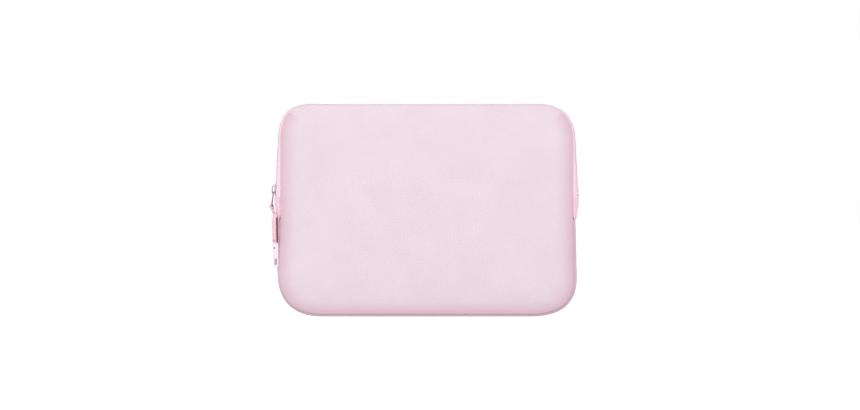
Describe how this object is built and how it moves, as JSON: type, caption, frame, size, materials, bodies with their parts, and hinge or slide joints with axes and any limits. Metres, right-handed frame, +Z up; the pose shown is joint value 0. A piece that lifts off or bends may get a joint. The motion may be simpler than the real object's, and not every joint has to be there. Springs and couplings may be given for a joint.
{
  "type": "laptop sleeve",
  "caption": "Padded fabric laptop sleeve with a zip across its top and down both sides, a fold-open front and a hanging zip pull.",
  "frame": {"origin": "middle of the flat bottom edge that the sleeve stands on", "axes": "+Z up, +X to the right of somebody who looks at the front panel, +Y from the front panel to the back panel"},
  "size_m": [0.3495, 0.028, 0.2403],
  "materials": {
    "cover_fabric": "heathered knit, matte, faint diagonal twill",
    "foam": "closed-cell foam sheet",
    "lining": "brushed soft lining",
    "zip_tape": "woven zip tape",
    "zip_coil": "dyed nylon coil, slightly glossy",
    "end_tab_fabric": "plain woven tape",
    "binding": "ribbed binding tape",
    "nickel": "satin nickel plate",
    "webbing": "ribbed webbing",
    "pull_leather": "smooth white synthetic leather",
    "patch_leather": "smooth mauve synthetic leather"
  },
  "bodies": {
    "sleeve_body": {"front_cover_lower": "cover_fabric", "back_cover": "cover_fabric", "front_foam_lower": "foam", "back_foam": "foam", "front_lining_lower": "lining", "back_lining": "lining", "boxing_strip": "cover_fabric", "boxing_lining": "lining", "zip_tape_back": "zip_tape", "zip_tape_front_left": "zip_tape", "zip_tape_front_right": "zip_tape", "zip_coil_back": "zip_coil", "zip_coil_front_left": "zip_coil", "zip_coil_front_right": "zip_coil", "zip_stop_left_front": "nickel", "zip_stop_left_back": "nickel", "end_tab_left": "end_tab_fabric", "zip_stop_right_front": "nickel", "zip_stop_right_back": "nickel", "end_tab_right": "end_tab_fabric", "seam_binding_back": "binding", "seam_binding_front_lower": "binding"},
    "front_flap": {"front_cover_upper": "cover_fabric", "front_foam_upper": "foam", "front_lining_upper": "lining", "zip_tape_front_upper": "zip_tape", "zip_coil_front_upper": "zip_coil", "seam_binding_front_upper": "binding"},
    "zip_slider": {"slider_body": "nickel", "slider_bridge": "nickel"},
    "pull_link": {"pull_link": "nickel"},
    "pull_strap": {"pull_strap": "webbing", "pull_tab": "pull_leather", "pull_tab_patch": "patch_leather", "pull_tab_rivet": "nickel"}
  },
  "joints": [
    {"name": "mouth_fold", "type": "hinge", "parent": "sleeve_body", "child": "front_flap", "pos_m": [0, -0.0143, 0.153], "axis": [1, 0, 0], "range_deg": [0, 110]},
    {"name": "zip_slide", "type": "slide", "parent": "sleeve_body", "child": "zip_slider", "axis": [0.0523, 0, 0.9986], "range_m": [0, 0.05]},
    {"name": "pull_link_swing", "type": "hinge", "parent": "zip_slider", "child": "pull_link", "pos_m": [-0.17352, 0, 0.14051], "axis": [0, 1, 0], "range_deg": [0, 130]},
    {"name": "strap_swing", "type": "hinge", "parent": "pull_link", "child": "pull_strap", "pos_m": [-0.17545, 0, 0.12483], "axis": [0, 1, 0], "range_deg": [0, 17.8]}
  ],
  "couplings": [
    {"joint": "strap_swing", "follows": "zip_slide", "rad_per_m": 6.2}
  ]
}
